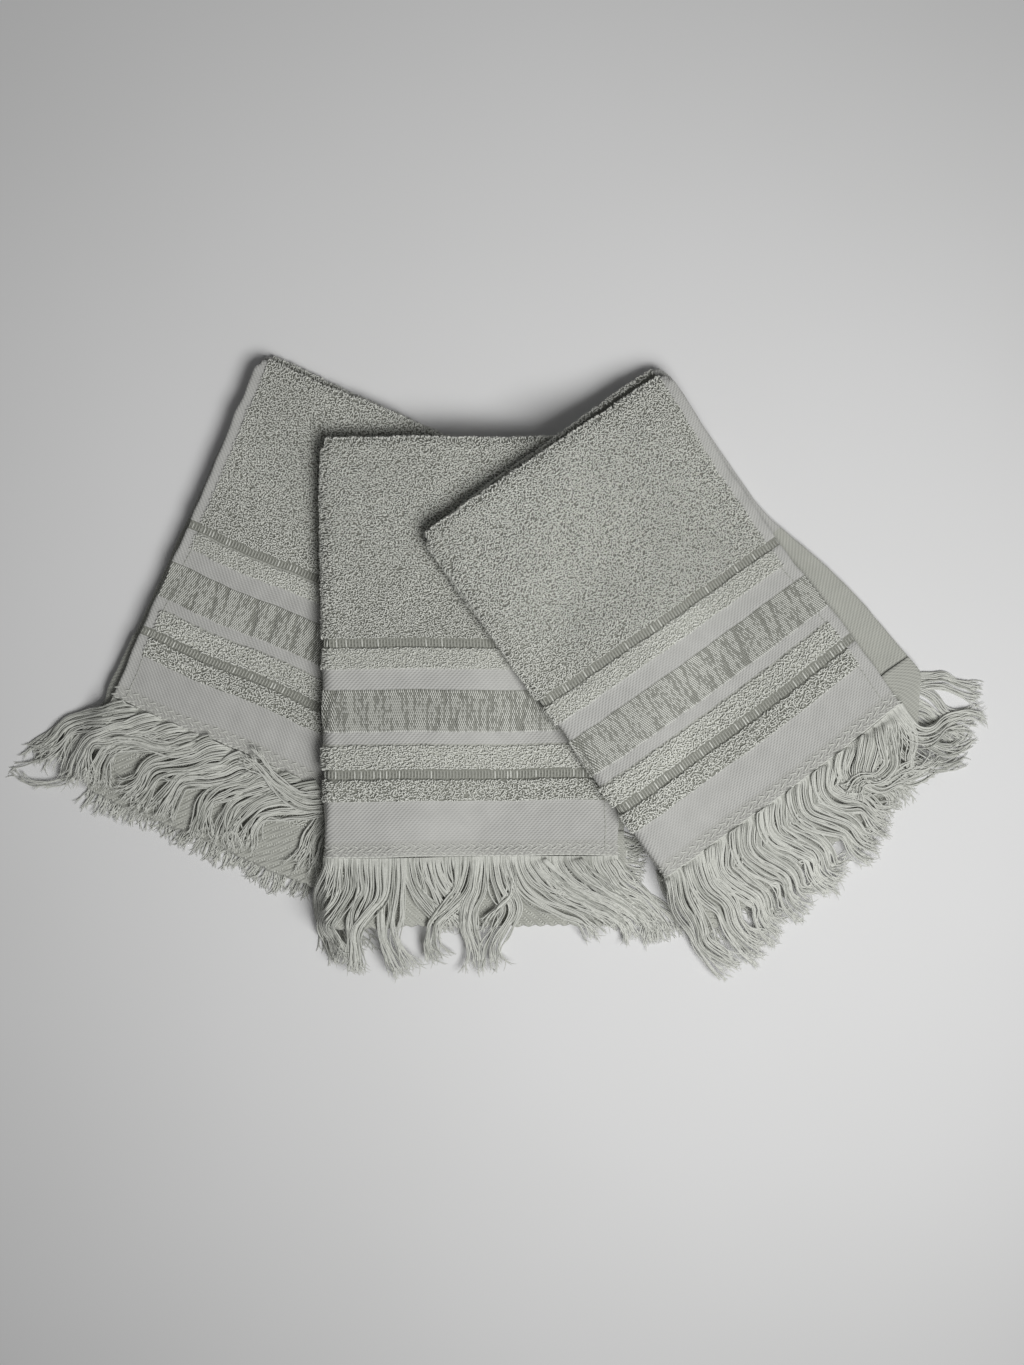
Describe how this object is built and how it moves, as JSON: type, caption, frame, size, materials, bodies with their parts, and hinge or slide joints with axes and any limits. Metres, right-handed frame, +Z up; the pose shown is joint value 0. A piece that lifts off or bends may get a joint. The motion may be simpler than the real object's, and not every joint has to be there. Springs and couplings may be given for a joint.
{
  "type": "folded fringed terry towel set",
  "caption": "Fringed cotton terry towels with woven borders, each folded across and along, laid on one another in a fan as they are shown on a shelf or bench.",
  "frame": {"origin": "middle of the set's footprint, on the surface it lies on", "axes": "+X to the right towel, +Y away from the fringes, +Z up"},
  "size_m": [0.4776, 0.317, 0.0418],
  "materials": {
    "terry_cloth": "cotton terry, uncut loops, with flat woven and checked bands",
    "fringe_yarn": "loose two-ply cotton warp yarn, unwoven",
    "sewing_thread": "matt sewing thread in the cloth's colour"
  },
  "bodies": {
    "left_towel": {"left_towel_cloth": "terry_cloth", "left_towel_front_fringe": "fringe_yarn", "left_towel_under_fringe": "fringe_yarn", "left_towel_tucked_fringe": "fringe_yarn", "left_towel_hem_stitching": "sewing_thread", "left_towel_side_stitching": "sewing_thread"},
    "middle_towel": {"middle_towel_cloth": "terry_cloth", "middle_towel_front_fringe": "fringe_yarn", "middle_towel_under_fringe": "fringe_yarn", "middle_towel_tucked_fringe": "fringe_yarn", "middle_towel_hem_stitching": "sewing_thread", "middle_towel_side_stitching": "sewing_thread"},
    "right_towel": {"right_towel_cloth": "terry_cloth", "right_towel_front_fringe": "fringe_yarn", "right_towel_under_fringe": "fringe_yarn", "right_towel_tucked_fringe": "fringe_yarn", "right_towel_hem_stitching": "sewing_thread", "right_towel_side_stitching": "sewing_thread"}
  },
  "joints": [
    {"name": "middle_towel_lift", "type": "slide", "parent": "left_towel", "child": "middle_towel", "axis": [0, 0, 1], "range_m": [0, 0.15]},
    {"name": "right_towel_lift", "type": "slide", "parent": "middle_towel", "child": "right_towel", "axis": [0, 0, 1], "range_m": [0, 0.15]}
  ]
}
